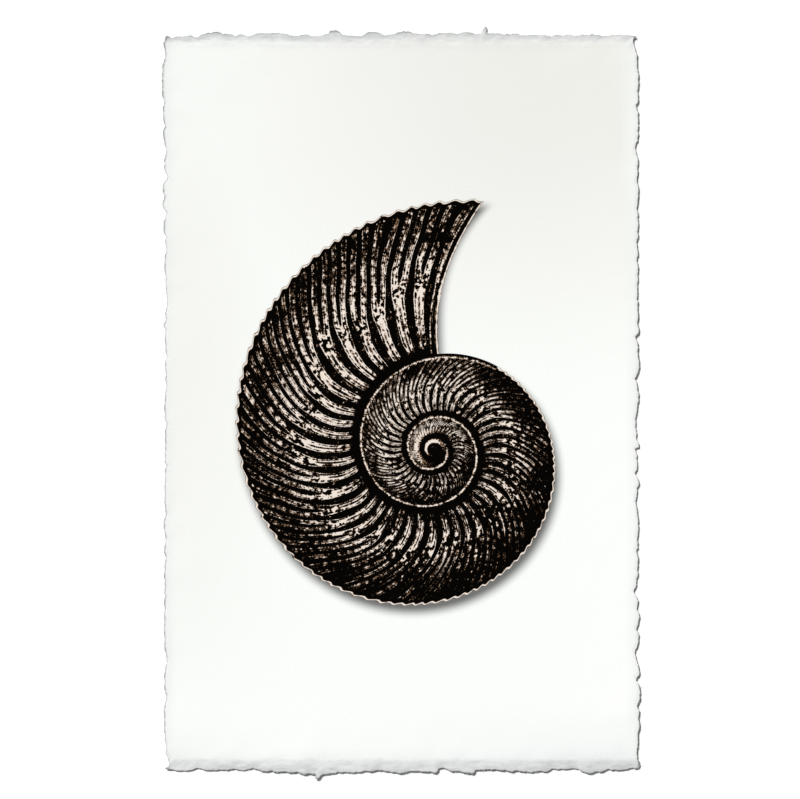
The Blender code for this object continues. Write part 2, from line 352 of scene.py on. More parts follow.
@dataclass(frozen=True)
class TornEdge:
    """The sheet's ragged outline. The sizes repeat those of the part's source, in metres."""

    width: float = 0.247
    height: float = 0.385
    radius: float = 0.0016
    seed: int = 911
    # Runs from kink to kink: (mean distance between kinks, how far a kink reaches).
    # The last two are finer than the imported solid's.
    runs: tuple[tuple[float, float], ...] = (
        (0.0320, 0.00024),
        (0.0140, 0.00028),
        (0.0065, 0.00036),
        (0.0030, 0.00034),
        (0.0017, 0.00022),
        (0.0009, 0.00007),
    )
    bulge: float = 0.55  # how far a run swells outward, as a share of its kinks' reach
    roughness: tuple[float, ...] = (1.3, 1.0, 1.3, 1.0)  # of the tear, side by side
    tufts: tuple[Tuft, ...] = tuple(
        Tuft(side, *row) for side, rows in TUFTS.items() for row in rows
    )

    def half(self, inset: float = 0.0) -> Array:
        """Half of the untorn width and height, less an inset."""
        return np.array([self.width, self.height]) / 2 - inset

    def lengths(self) -> Array:
        """The outline's stretches in order: a corner's arc, then a straight side, four times."""
        sides = np.array([self.width, self.height] * 2) - 2 * self.radius
        return np.column_stack((np.full(4, self.radius * TAU / 4), sides)).ravel()

    def untorn(self, distance: Array) -> tuple[Array, Array]:
        """The outline before it is torn: a rectangle with round corners.

        Formula: from the start of the lower left arc, the outward way turns by distance
        over radius along an arc and stays along a straight side.

        Args:
            distance: how far round each point is.

        Returns:
            The points and their outward ways.
        """
        ends = np.cumsum(self.lengths())
        stretch = np.minimum(np.searchsorted(ends, distance, side="right"), len(ends) - 1)
        local = distance - np.concatenate(((0.0,), ends))[stretch]
        side, straight = stretch // 2, stretch % 2 == 1
        turned = np.where(straight, TAU / 4, local / self.radius) + (side - 2) * TAU / 4
        out = np.column_stack((np.cos(turned), np.sin(turned)))
        onward = np.column_stack((-out[:, 1], out[:, 0]))
        corner = np.array([(-1, -1), (1, -1), (1, 1), (-1, 1)])[side]
        centre = corner * self.half(self.radius)
        along = np.where(straight, local, 0.0)[:, None] * onward
        return centre + self.radius * out + along, out

    def place_round(self, tuft: Tuft) -> float:
        """How far round a tuft stands, from its place along its side."""
        lengths, stretch = self.lengths(), 2 * tuft.side.value + 1
        ahead = 1 if tuft.side in (Side.BOTTOM, Side.RIGHT) else -1
        return lengths[:stretch].sum() + lengths[stretch] / 2 + ahead * tuft.place

    def stations(self, cells: tuple[int, int]) -> Array:
        """Distances of evenly spaced points, each side from the middle of its corner's arc.

        Args:
            cells: how many points along a bottom and along a side edge.

        Returns:
            The distances, anticlockwise from the lower left corner.
        """
        arc = self.radius * TAU / 4
        reach = self.lengths()[1::2] + arc
        starts = np.concatenate(((0.0,), np.cumsum(reach)[:-1])) + arc / 2
        counts = (cells[0], cells[1], cells[0], cells[1])
        return np.concatenate([s + np.arange(n) / n * r for s, n, r in zip(starts, counts, reach)])

    def tear(self, distance: Array) -> Array:
        """How far the torn edge stands out at each distance round.

        Formula: a sum of seeded runs, each of straight lines from kink to kink with an
        arc's swelling on them, so that the runs meet in notches.

        Args:
            distance: how far round each point is.

        Returns:
            The reaches outward.
        """
        rng = np.random.RandomState(self.seed)
        around = self.lengths().sum()
        reach = np.zeros_like(distance)
        for spacing, depth in self.runs:
            count = round(around / spacing)
            kinks = (np.arange(count) + rng.uniform(0, 0.8, count)) * around / count
            heights = rng.uniform(-depth, depth, count)
            after = np.searchsorted(kinks, distance) % count
            run = (kinks[after] - kinks[after - 1]) % around
            part = (distance - kinks[after - 1]) % around / run
            arc = 2 * np.sqrt(np.clip(part * (1 - part), 0, None))
            reach += heights[after - 1] * (1 - part) + heights[after] * part
            reach += self.bulge * depth * (arc - math.pi / 4)
        return reach

    def torn(self, distance: Array) -> Array:
        """The ragged outline: the untorn one moved outward by the tear and the tufts.

        Formula: a tuft is 1 less a power of the share of its half width from its place,
        and it leans by the same curve.

        Args:
            distance: how far round each point is.

        Returns:
            The points.
        """
        points, out = self.untorn(distance)
        reach = self.tear(distance) * (belonging(out) @ self.roughness)
        lean = np.zeros_like(points)
        around = self.lengths().sum()
        for tuft in self.tufts:
            off = np.abs((distance - self.place_round(tuft)) % around)
            off = np.minimum(off, around - off) / (tuft.width / 2)
            bump = 1 - np.minimum(off, 1) ** tuft.blunt
            reach += tuft.reach * bump
            lean[:, tuft.side.value % 2] += tuft.lean * bump
        return points + reach[:, None] * out + lean


def ridge(name: str, source: str, centre: float, half: float) -> Steps:
    """Rows for a soft ridge: 1 where the source is at the centre, 0 from half away on.

    Args:
        name: the result's name.
        source: an earlier result.
        centre: where the ridge stands.
        half: how far it reaches on each side.

    Returns:
        The rows.
    """
    return (
        (name + "_off", "SUBTRACT", source, centre),
        (name + "_away", "ABSOLUTE", name + "_off"),
        (name, "SMOOTHSTEP", name + "_away", half, 0.0),
    )


@dataclass(frozen=True)
class AmmonitePrint:
    """Pigment ink in the paper: an ammonite seen from its side, with a soft shadow.

    Pigment ink dries matt and fills the paper's pores, so its black is about as dull as
    the paper round it. The figure is all formula. Sizes are in millimetres.
    """

    black: str = "040302"
    tan: str = "886C54"
    cream: str = "E8DCD0"
    centre: tuple[float, float] = (16.8, -24.7)  # of the coil, from the sheet's middle
    lip_radius: float = 131.0
    growth: float = 2.6  # of the radius, in each turn
    lip_angle: float = 0.06 - TAU / 4
    overlap: float = 0.6  # how far past the lip the coil's angle runs before it wraps
    ribs: float = 44.0  # in each turn
    sweep: float = 0.32  # how far the ribs swing forwards
    calm: float = 0.45  # the share of that swing at the lip
    fork: float = 0.58  # where the ribs fork, from the inner seam to the outer edge
    scallop: float = 0.0056  # the notches in the outer edge, in whorls
    flank: float = 0.62  # the tones of a rib's flanks, of its crest, and at mid whorl
    crest: float = 0.55
    crest_middle: float = 0.95
    threshold: float = 0.52  # the tone that prints tan
    softness: tuple[float, float] = (0.15, 0.11)  # from there to black and to cream
    shadow_shift: tuple[float, float] = (1.8, -3.7)
    shadow_blur: tuple[float, float] = (4.5, -3.5)
    shadow_depth: float = 0.82
    light: float = math.radians(130)
    patches: tuple[tuple[str, float], ...] = (  # of noise in the ink, and their sizes
        ("fine", 0.85),
        ("mid", 2.4),
        ("broad", 13.0),
        ("wander", 26.0),
    )
    evened: tuple = ("LINEAR", "spots", 0.0, 1.0, -1.4, 1.4)  # spreads noise to about -1 to 1

    def coil(self, recipe: Recipe, place: Socket, shift: tuple[float, float]) -> dict[str, Socket]:
        """Places the surface on the coil.

        Formula: the outer edge's radius is the lip's times the growth to the power of
        the turns run since the lip. So the turns less the logarithm of the radius
        counts the whorls inward from that edge.

        Args:
            recipe: the material's nodes.
            place: the surface's place in millimetres.
            shift: moves the coil's centre.

        Returns:
            The radius, the angle turned from the lip, the depth in whorls, and the
            share of light that falls on a wall facing away from the centre.
        """
        centre = (self.centre[0] + shift[0], self.centre[1] + shift[1], 0.0)
        moved = recipe.add("VectorMath", place, centre, operation="SUBTRACT")
        flat = recipe.add("VectorMath", moved, (1.0, -1.0, 0.0), operation="MULTIPLY")
        sun = (math.cos(self.light), -math.sin(self.light), 0.0)
        dots = {"x": (1.0, 0.0, 0.0), "y": (0.0, 1.0, 0.0), "lit": sun}
        known = {
            name: recipe.add("VectorMath", flat, way, out="Value", operation="DOT_PRODUCT")
            for name, way in dots.items()
        }
        known["radius"] = recipe.add("VectorMath", flat, out="Value", operation="LENGTH")
        return recipe.work_out(
            (
                ("angle", "ARCTAN2", "y", "x"),
                ("from_lip", "SUBTRACT", "angle", self.lip_angle),
                ("turned", "WRAP", "from_lip", self.overlap, self.overlap - TAU),
                ("share", "DIVIDE", "radius", self.lip_radius),
                ("coiled", "LOGARITHM", "share", self.growth ** (1 / TAU)),
                ("inward", "SUBTRACT", "turned", "coiled"),
                ("depth", "DIVIDE", "inward", TAU),
                ("light", "DIVIDE", "lit", "radius"),
            ),
            known,
        )

    def bow(self) -> Steps:
        """Rows for the curve of a rib across its whorl: first back, then well forwards."""
        return (
            ("half_turn", "MULTIPLY", "across", math.pi),
            ("belly", "SINE", "half_turn"),
            ("squared", "MULTIPLY", "across", "across"),
            ("bow", "MULTIPLY_ADD", "belly", -0.33, "squared"),
        )

    def ribbing(self) -> Steps:
        """Rows for the ribs' height, and for the place of the streaks along them.

        Formula: a cosine of the growth angle, with a few slow waves in its pace, that
        turns into one of twice the pace where the ribs fork.
        """
        return (
            ("whorl", "FLOOR", "depth"),
            ("part", "SUBTRACT", "depth", "whorl"),
            ("across", "SUBTRACT", 1.0, "part"),
            *self.bow(),
            ("back", "MULTIPLY", "whorl", TAU),
            ("age", "SUBTRACT", "turned", "back"),
            ("vigour", "SMOOTHSTEP", "age", 0.0, -0.9, self.calm, 1.0),
            ("swept", "MULTIPLY", "bow", "vigour"),
            ("grown", "MULTIPLY_ADD", "swept", -self.sweep, "age"),
            ("slow", "MULTIPLY_ADD", "grown", 5.3, 1.0),
            ("slow_wave", "SINE", "slow"),
            ("quick", "MULTIPLY_ADD", "grown", 11.7, 2.0),
            ("quick_wave", "SINE", "quick"),
            ("even", "MULTIPLY", "grown", self.ribs),
            ("uneven", "MULTIPLY_ADD", "slow_wave", 0.5, "even"),
            ("rougher", "MULTIPLY_ADD", "quick_wave", 0.3, "uneven"),
            ("rib", "MULTIPLY_ADD", "wander", 0.7, "rougher"),
            ("ninth", "MULTIPLY", "grown", 9.0),
            ("ninth_wave", "SINE", "ninth"),
            ("ragged", "MULTIPLY_ADD", "ninth_wave", 0.06, "across"),
            ("forked", "SMOOTHSTEP", "ragged", self.fork - 0.16, self.fork + 0.16),
            ("single", "COSINE", "rib"),
            ("twice", "MULTIPLY", "rib", 2.0),
            ("double", "COSINE", "twice"),
            ("lowered", "MULTIPLY", "double", -0.9),
            ("change", "SUBTRACT", "lowered", "single"),
            ("relief", "MULTIPLY_ADD", "change", "forked", "single"),
            ("streak_over", "MULTIPLY", "rib", 1.5),
            ("streak_row", "MULTIPLY", "whorl", 7.0),
            ("streak_along", "MULTIPLY_ADD", "across", 5.0, "streak_row"),
        )

    def edges(self) -> Steps:
        """Rows for what lies inside the figure, and distances from its seams and rim."""
        return (
            ("notch", "MULTIPLY_ADD", "double", self.scallop, self.scallop),
            ("cut", "SUBTRACT", "depth", "notch"),
            ("inner", "GREATER_THAN", "whorl", 0.5),
            ("grown_before", "LESS_THAN", "grown", 0.0),
            ("within_lip", "MAXIMUM", "inner", "grown_before"),
            ("within_edge", "GREATER_THAN", "cut", 0.0),
            ("inside", "MULTIPLY", "within_lip", "within_edge"),
            ("span", "MULTIPLY", "radius", math.log(self.growth)),
            ("from_outer", "MULTIPLY", "part", "span"),
            ("from_inner", "MULTIPLY", "across", "span"),
            ("from_seam", "MINIMUM", "from_outer", "from_inner"),
            ("from_edge", "MULTIPLY", "cut", "span"),
            ("arc", "MULTIPLY", "grown", "radius"),
            ("from_mouth", "MULTIPLY", "arc", -0.9),
            ("nearest", "MINIMUM", "from_edge", "from_mouth"),
            ("rim", "MULTIPLY_ADD", "inner", 99.0, "nearest"),
        )

    def toning(self) -> Steps:
        """Rows for the tone, from dark 0 to the cream of 1.

        Formula: light flanks and crests on the ribs, weaker at the inner seam and at the
        outer edge, with a dark line along each crest and grain in them; then a plain
        hub, a light line beside each seam, a dark seam, and a doubled light line round
        the rim.
        """
        mean, (darker, lighter) = self.threshold, self.softness
        return (
            ("flank_at", "MULTIPLY_ADD", "mid", -0.22, "relief"),
            *ridge("flank", "flank_at", 0.10, 0.34),
            ("crest_at", "MULTIPLY_ADD", "mid", 0.30, "relief"),
            ("crest", "SMOOTHSTEP", "crest_at", 0.30, 0.80),
            ("top_at", "MULTIPLY_ADD", "fine", 0.12, "relief"),
            ("top_line", "SMOOTHSTEP", "top_at", 0.84, 0.95, 1.0, 0.35),
            ("risen", "SMOOTHSTEP", "across", 0.02, 0.13),
            ("dimmed", "SMOOTHSTEP", "across", 0.58, 0.92, 1.0, 0.6),
            ("strength", "MULTIPLY", "risen", "dimmed"),
            ("middle_off", "SUBTRACT", "across", 0.45),
            ("middle_away", "ABSOLUTE", "middle_off"),
            ("middle", "SMOOTHSTEP", "middle_away", 0.47, 0.0, self.crest, self.crest_middle),
            ("crest_lined", "MULTIPLY", "crest", "top_line"),
            ("crest_tone", "MULTIPLY", "crest_lined", "middle"),
            ("rib_tone", "MULTIPLY_ADD", "flank", self.flank, "crest_tone"),
            ("rib_shown", "MULTIPLY", "rib_tone", "strength"),
            ("patchy", "MULTIPLY_ADD", "broad", 0.45, 0.92),
            ("lighting", "MULTIPLY_ADD", "light", 0.14, "patchy"),
            ("rib_lit", "MULTIPLY", "rib_shown", "lighting"),
            ("grains", "ADD", "fine", "mid"),
            ("streaks", "MULTIPLY", "streak", 0.34),
            ("grain", "MULTIPLY_ADD", "grains", 0.32, "streaks"),
            ("grain_share", "MULTIPLY_ADD", "strength", 0.65, 0.35),
            ("grained", "MULTIPLY_ADD", "grain", "grain_share", "rib_lit"),
            ("side_lit", "MULTIPLY_ADD", "light", 0.05, "grained"),
            ("hub_angle", "MULTIPLY_ADD", "across", 6.0, -3.0),
            ("hub_wave", "COSINE", "hub_angle"),
            ("hub_form", "MULTIPLY_ADD", "hub_wave", 0.45, 0.55),
            ("hub_light", "MULTIPLY_ADD", "light", 0.35, 0.55),
            ("hub_tone", "MULTIPLY", "hub_form", "hub_light"),
            ("hub", "MULTIPLY_ADD", "fine", 0.2, "hub_tone"),
            ("off_hub", "SMOOTHSTEP", "radius", 6.0, 15.0),
            ("more", "SUBTRACT", "side_lit", "hub"),
            ("body", "MULTIPLY_ADD", "more", "off_hub", "hub"),
            *ridge("seam_line", "from_outer", 1.96, 1.2),
            ("line_grain", "MULTIPLY_ADD", "fine", 0.40, 0.60),
            ("line_tone", "MULTIPLY_ADD", "mid", 0.35, "line_grain"),
            ("line_shown", "SMOOTHSTEP", "radius", 3.0, 8.0),
            ("line_there", "MULTIPLY", "line_shown", "inner"),
            ("line_drawn", "MULTIPLY", "seam_line", "line_there"),
            ("line", "MULTIPLY", "line_drawn", "line_tone"),
            ("lined", "MAXIMUM", "body", "line"),
            ("seam", "SMOOTHSTEP", "from_seam", 0.0, 1.63, 0.03, 1.0),
            ("seamed", "MULTIPLY", "lined", "seam"),
            *ridge("gap", "rim", 1.9, 1.17),
            ("gap_share", "MULTIPLY_ADD", "gap", -0.85, 1.0),
            ("gapped", "MULTIPLY", "seamed", "gap_share"),
            *ridge("second", "rim", 3.4, 0.75),
            ("by_mouth", "LESS_THAN", "from_mouth", "from_edge"),
            ("second_there", "MULTIPLY", "second", "by_mouth"),
            ("second_line", "MULTIPLY", "second_there", "line_tone"),
            ("doubled", "MAXIMUM", "gapped", "second_line"),
            *ridge("rim_line", "rim", 0.5, 0.75),
            ("rim_tone", "MULTIPLY_ADD", "mid", 0.35, 0.85),
            ("rim_drawn", "MULTIPLY", "rim_line", "rim_tone"),
            ("tone", "MAXIMUM", "doubled", "rim_drawn"),
            ("ink_thins", "SMOOTHSTEP", "tone", mean - darker, mean),
            ("bare", "SMOOTHSTEP", "tone", mean, mean + lighter),
        )

    def shading(self) -> Steps:
        """Rows for the soft shadow's share of ink.

        Formula: the last whorl's share fades with the distance past its outer edge and
        with the distance past its mouth, the whorl before it goes on past the mouth
        with a share of its own, and the larger of the two is taken.
        """
        before = 1 / self.growth
        return (
            ("widened", "POWER", self.growth ** (1 / TAU), "turned"),
            ("outer", "MULTIPLY", "widened", self.lip_radius),
            ("outer_before", "MULTIPLY", "outer", before),
            ("reached", "DIVIDE", "radius", "outer"),
            ("across", "LINEAR", "reached", before, 1.0),
            *self.bow(),
            ("grown", "MULTIPLY_ADD", "bow", -self.sweep * self.calm, "turned"),
            ("past_mouth", "MULTIPLY", "grown", "radius"),
            ("past_edge", "SUBTRACT", "radius", "outer"),
            ("past_before", "SUBTRACT", "radius", "outer_before"),
            ("by_mouth", "SMOOTHSTEP", "past_mouth", *self.shadow_blur),
            ("by_edge", "SMOOTHSTEP", "past_edge", *self.shadow_blur),
            ("by_before", "SMOOTHSTEP", "past_before", *self.shadow_blur),
            ("last_whorl", "MULTIPLY", "by_mouth", "by_edge"),
            ("shade", "MAXIMUM", "last_whorl", "by_before"),
            ("curved", "POWER", "shade", 1.3),
            ("ink", "MULTIPLY", "curved", self.shadow_depth),
        )

    def printed(self, recipe: Recipe, place: Socket, paper: Socket) -> Socket:
        """Prints the figure and its shadow on a colour.

        Args:
            recipe: the material's nodes.
            place: the surface's place in millimetres.
            paper: the paper's colour.

        Returns:
            The colour with the ink in it.
        """
        known = self.coil(recipe, place, (0.0, 0.0))
        for name, size in self.patches:
            spots = {"Vector": place, "Scale": 1 / size, "Detail": 1.0}
            known["spots"] = recipe.add("TexNoise", spots, noise_dimensions="2D")
            recipe.work_out(((name, *self.evened),), known)
        recipe.work_out((*self.ribbing(), *self.edges()), known)
        along = recipe.add("CombineXYZ", known["streak_over"], known["streak_along"])
        spots = {"Vector": along, "Scale": 1.0, "Detail": 2.0}
        known["spots"] = recipe.add("TexNoise", spots, noise_dimensions="2D")
        recipe.work_out((("streak", *self.evened), *self.toning()), known)
        shadow = self.coil(recipe, place, self.shadow_shift)
        recipe.work_out(self.shading(), shadow)
        black, tan, cream = (linear(tone) for tone in (self.black, self.tan, self.cream))
        shaded = recipe.lay_over(paper, ((shadow["ink"], black),))
        inked = recipe.lay_over(black, ((known["ink_thins"], tan), (known["bare"], cream)))
        return recipe.lay_over(shaded, ((known["inside"], inked),))


@dataclass(frozen=True)
class RagPaper:
    """Unsized cotton-rag paper, formed on a mould and dried between felts.

    It is matt and warm white, with a soft felt grain, and painted shade darkens it a little
    towards its upper right. Its deckle, where the pulp ran out thin under the frame, is
    greyer, partly from painted shade of the thin, curled stock, and its torn rim carries
    painted shade. Sizes are in millimetres.
    """

    white: str = "F4F6F3"
    # painted shade, for light that falls off up the sheet and to the right
    falloff_shade: str = "E8E8E3"
    cool_low_tone: str = "E6E8E8"
    margin: str = "ECEEEB"
    # the thin deckle's grey, partly painted shade of its curled stock
    thin: str = "C7C9C9"
    # painted shade of the torn rim's loose fibres
    shaded_rim: str = "7C7E7E"
    felt_size: float = 1.6
    fibre_size: float = 0.45  # the fibres are 0.02 mm thick, too fine to show, so coarser
    pulp_size: float = 2.6
    pulp_flow: tuple[float, float, float] = (0.3, 1.0, 1.0)  # draws the clots out across
    relief: float = 0.035
    roughness: float = 0.93
    shine: float = 0.02  # specular level: porous fibres hardly mirror anything

    def colour(self, recipe: Recipe, place: Socket) -> Socket:
        """Warm white, with painted shade and other tones by place, greyer where the sheet is thin,
        partly as painted shade, and with painted shade along the torn rim.

        Formula: painted shade rises up the sheet and from left to right, with some by the
        middle of the left margin, standing in for light that falls off. A cooler tone lies
        along the bottom, most to the right. Both side margins lean to a tone of their own,
        further in where the painted shade is. The grey follows how thin the sheet is, in
        clots and gaps the size of the pulp's, and is partly painted shade of the thin, curled
        deckle. The painted shade of the torn rim's loose fibres is darkest in stretches.

        Args:
            recipe: the material's nodes.
            place: the surface's place in millimetres.

        Returns:
            The colour.
        """
        flow = recipe.add("VectorMath", place, self.pulp_flow, operation="MULTIPLY")
        spots = {"Scale": 1 / self.pulp_size, "Detail": 4.0, "Roughness": 0.7}
        known = {
            "x": recipe.add("VectorMath", place, (1, 0, 0), out="Value", operation="DOT_PRODUCT"),
            "y": recipe.add("VectorMath", place, (0, 1, 0), out="Value", operation="DOT_PRODUCT"),
            "thin": recipe.add("Attribute", out="Fac", attribute_name=THIN_AND_SHADE),
            "fray": recipe.add("Attribute", out="Fac", attribute_name=RIM_SHADE),
            "pulp": recipe.add("TexNoise", flow, spots),
        }
        recipe.work_out(
            (
                # Painted shade: darker up the sheet and to the right, and by the middle of the left
                # margin, where the light falls off.
                ("up", "SMOOTHSTEP", "y", -20.0, 160.0),
                ("over", "SMOOTHSTEP", "x", -140.0, 70.0, 0.15, 1.0),
                ("upper", "MULTIPLY", "up", "over"),
                ("leftward", "SMOOTHSTEP", "x", -30.0, -115.0, 0.0, 0.5),
                *ridge("level", "y", 25.0, 235.0),
                ("left", "MULTIPLY", "leftward", "level"),
                ("above", "MAXIMUM", "upper", "left"),
                ("lower", "SMOOTHSTEP", "y", -150.0, -200.0),
                ("lower_over", "SMOOTHSTEP", "x", -60.0, 110.0, 0.35, 0.85),
                ("low", "MULTIPLY", "lower", "lower_over"),
                ("off_middle", "ABSOLUTE", "x"),
                ("spread", "MULTIPLY_ADD", "upper", 3.0, "off_middle"),
                ("beside", "LINEAR", "spread", 117.0, 123.0, 0.0, 0.9),
                # The deckle's grey, partly painted shade of its thin, curled stock, in clots of
                # pulp.
                ("clots", "LINEAR", "pulp", 0.33, 0.67, 0.52, 1.36),
                ("grey", "MULTIPLY", "thin", "clots"),
                # Painted shade of the torn rim's loose fibres, darkest in stretches
                ("stretches", "SMOOTHSTEP", "pulp", 0.40, 0.60, 0.40, 0.95),
                ("torn", "MULTIPLY", "fray", "stretches"),
            ),
            known,
        )
        # The layers: painted shade by place, a cooler tone low down, the side margins' tone, the
        # deckle's grey with its painted shade, and painted shade along the torn rim.
        layers = {
            "above": self.falloff_shade,
            "low": self.cool_low_tone,
            "beside": self.margin,
            "grey": self.thin,
            "torn": self.shaded_rim,
        }
        over = [(known[share], linear(tone)) for share, tone in layers.items()]
        return recipe.lay_over(linear(self.white), over)

    def grain(self, recipe: Recipe, place: Socket) -> Socket:
        """The felt's marks with fibres between them, as a bumped normal.

        Args:
            recipe: the material's nodes.
            place: the surface's place in millimetres.

        Returns:
            The normal.
        """
        fibre = {"Scale": 1 / self.fibre_size, "Detail": 2.0, "Distortion": 1.2}
        known = {
            "felt": recipe.add("TexNoise", place, {"Scale": 1 / self.felt_size, "Detail": 2.0}),
            "fibres": recipe.add("TexNoise", place, fibre),
        }
        recipe.work_out((("height", "MULTIPLY_ADD", "fibres", 0.35, "felt"),), known)
        bump = {"Strength": 1.0, "Distance": self.relief * MM, "Height": known["height"]}
        return recipe.add("Bump", bump)

    def material(self, name: str, figure: AmmonitePrint | None = None) -> bpy.types.Material:
        """Makes the paper, bare or printed.

        Args:
            name: the material's name.
            figure: what is printed on it, if anything.

        Returns:
            The material.
        """
        made = bpy.data.materials.new(name)
        recipe = Recipe.afresh(made)
        spot = recipe.add("TexCoord", out="Object")
        scale = (1 / MM, 1 / MM, 1 / MM)
        place = recipe.add("VectorMath", spot, scale, operation="MULTIPLY")
        colour = self.colour(recipe, place)
        surface = {
            "Base Color": figure.printed(recipe, place, colour) if figure else colour,
            "Roughness": self.roughness,
            "Specular IOR Level": self.shine,
            "Normal": self.grain(recipe, place),
        }
        recipe.finish(recipe.add("BsdfPrincipled", surface))
        return made


def quads(*corners: Array) -> Array:
    """Four-sided faces, one a row, from the vertices at their first to fourth corners."""
    return np.stack(corners, axis=-1).reshape(-1, 4)


def new_piece(name: str, points: Array, faces: Sequence, finishes: Sequence) -> bpy.types.Object:
    """Makes a smooth-shaded piece with its place in its mesh.

    Args:
        name: the piece's name.
        points: its vertices, one a row.
        faces: the vertices of each face, anticlockwise as seen from outside.
        finishes: its materials in the order of their slots.

    Returns:
        The object, linked to the scene.
    """
    mesh = bpy.data.meshes.new(name)
    mesh.from_pydata(points.tolist(), [], faces)
    for finish in finishes:
        mesh.materials.append(finish)
    mesh.shade_smooth()
    piece = bpy.data.objects.new(name, mesh)
    bpy.context.scene.collection.objects.link(piece)
    return piece


@dataclass(frozen=True)
class Deckle:
    """One side's margin, where the pulp ran out thin under the mould's frame."""

    depth: float  # how far in the thin stock reaches from the untorn edge
    rim: float  # the thickness left at the torn rim
    grey: tuple[tuple[float, ...], tuple[float, ...]]  # depths in, and how grey it is there, partly painted shade
    straight: float  # 1 where its inner line is straight, 0 where it follows the tear
    fray: float  # how far in the painted shade of the torn rim reaches
    curl: float  # how far the side stands off the table
    left_end: float = 1.0  # how grey its left end is, as a share of the rest


